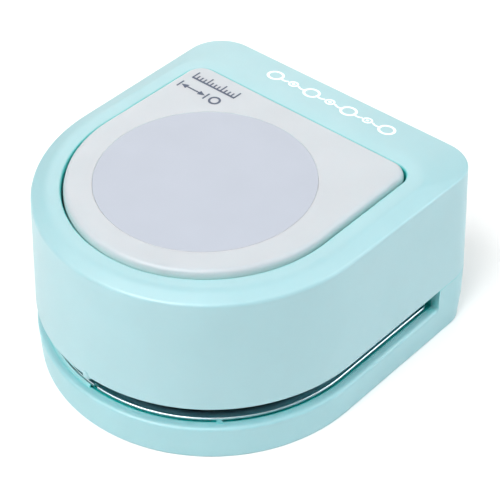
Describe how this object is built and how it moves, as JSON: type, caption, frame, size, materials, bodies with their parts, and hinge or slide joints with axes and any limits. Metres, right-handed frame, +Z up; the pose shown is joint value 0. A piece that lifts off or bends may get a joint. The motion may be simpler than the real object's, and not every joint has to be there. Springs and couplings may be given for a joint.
{
  "type": "circle paper punch",
  "caption": "D-shaped desk punch: a spring-returned push button drives a round cutter through a steel die at the end of a wraparound paper slot, and the cut circle drops out below.",
  "frame": {"origin": "middle of the footprint, on the surface that it stands on", "axes": "+Z up, -Y towards the round front where the paper goes in, +X to the right as seen from the front"},
  "size_m": [0.0768, 0.0818, 0.0423],
  "materials": {
    "aqua_plastic": "satin moulded",
    "button_white": "satin moulded",
    "disc_grey": "satin printed disc",
    "plate_steel": "rolled and stamped",
    "cutter_zinc": "ground edge",
    "carrier_nylon": "moulded",
    "zinc_plated_steel": "zinc plated",
    "spring_steel": "drawn wire and stamped strip"
  },
  "bodies": {
    "punch_body": {"upper_housing": "aqua_plastic", "base_tray": "aqua_plastic", "die_plate": "plate_steel", "guide_plate": "plate_steel", "plate_spacer": "plate_steel", "plate_rivet_left": "zinc_plated_steel", "plate_rivet_centre": "zinc_plated_steel", "plate_rivet_right": "zinc_plated_steel", "guide_post_front_left": "zinc_plated_steel", "retaining_clip_front_left": "spring_steel", "return_spring_front_left": "spring_steel", "die_screw_front_left": "zinc_plated_steel", "guide_post_front_right": "zinc_plated_steel", "retaining_clip_front_right": "spring_steel", "return_spring_front_right": "spring_steel", "die_screw_front_right": "zinc_plated_steel", "guide_post_rear_left": "zinc_plated_steel", "retaining_clip_rear_left": "spring_steel", "return_spring_rear_left": "spring_steel", "die_screw_rear_left": "zinc_plated_steel", "guide_post_rear_right": "zinc_plated_steel", "retaining_clip_rear_right": "spring_steel", "return_spring_rear_right": "spring_steel", "die_screw_rear_right": "zinc_plated_steel", "housing_screw_left": "zinc_plated_steel", "housing_screw_right": "zinc_plated_steel"},
    "plunger": {"push_button": "button_white", "button_disc": "disc_grey", "plunger_carrier": "carrier_nylon", "circle_cutter": "cutter_zinc", "cutter_screw_1": "zinc_plated_steel", "cutter_screw_2": "zinc_plated_steel", "cutter_screw_3": "zinc_plated_steel"}
  },
  "joints": [
    {"name": "button_press", "type": "slide", "parent": "punch_body", "child": "plunger", "axis": [0, 0, -1], "range_m": [0, 0.006], "stiffness_N_per_m": 5900, "springref_m": -0.003, "deforming": ["return_spring_front_left", "return_spring_front_right", "return_spring_rear_left", "return_spring_rear_right"]}
  ]
}
